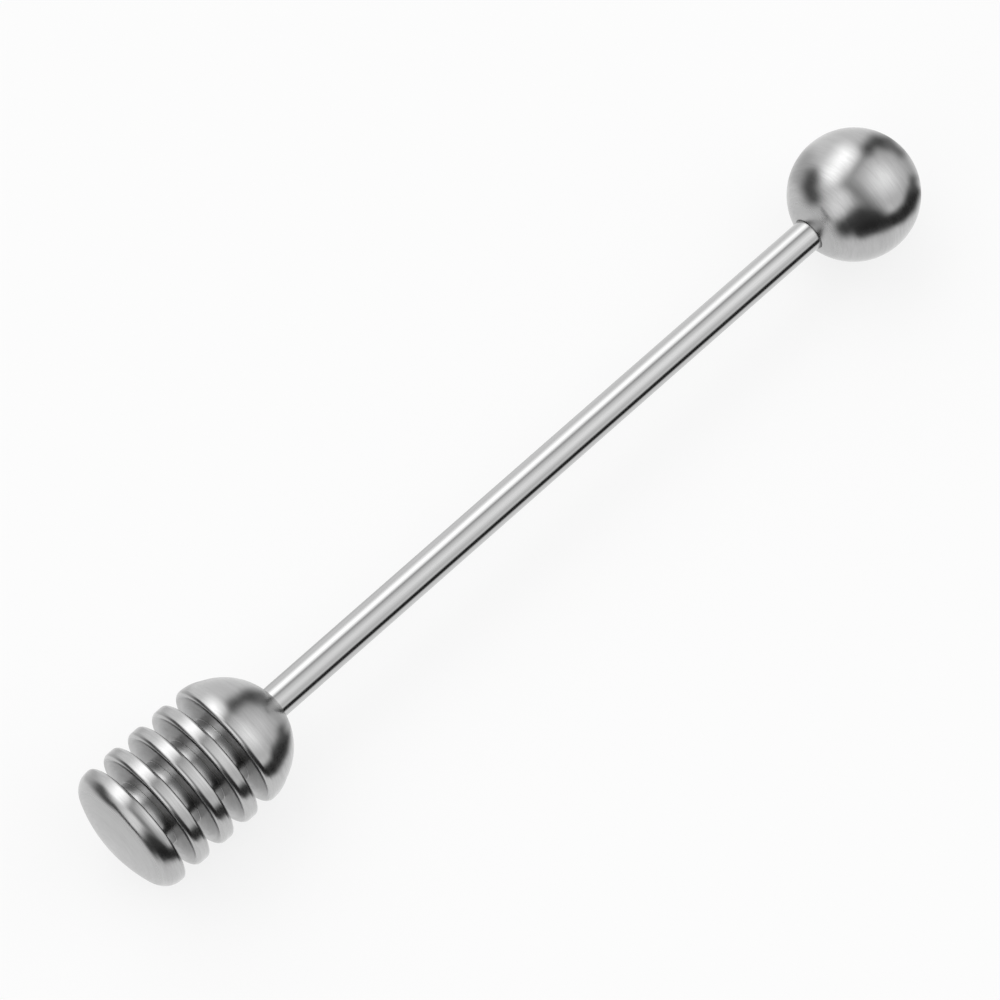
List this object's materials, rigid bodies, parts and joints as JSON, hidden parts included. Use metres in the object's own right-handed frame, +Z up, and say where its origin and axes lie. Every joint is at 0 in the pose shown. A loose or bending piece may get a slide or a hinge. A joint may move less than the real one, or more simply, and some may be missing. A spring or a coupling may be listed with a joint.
{
  "type": "honey dipper",
  "caption": "Steel honey dipper: a domed head cut with honey grooves, a slim round handle rod and a ball at its end.",
  "frame": {"origin": "on the surface that the dipper lies on, under the middle of its length", "axes": "+X along the dipper, from the head to the ball; +Z up, away from the surface that it lies on"},
  "size_m": [0.159, 0.02, 0.02],
  "materials": {
    "satin_steel": "satin, turned and brushed round the axis",
    "polished_steel": "polished"
  },
  "bodies": {
    "root": {"dipper_head": "satin_steel", "handle_rod": "polished_steel", "ball_knob": "satin_steel"}
  },
  "joints": []
}
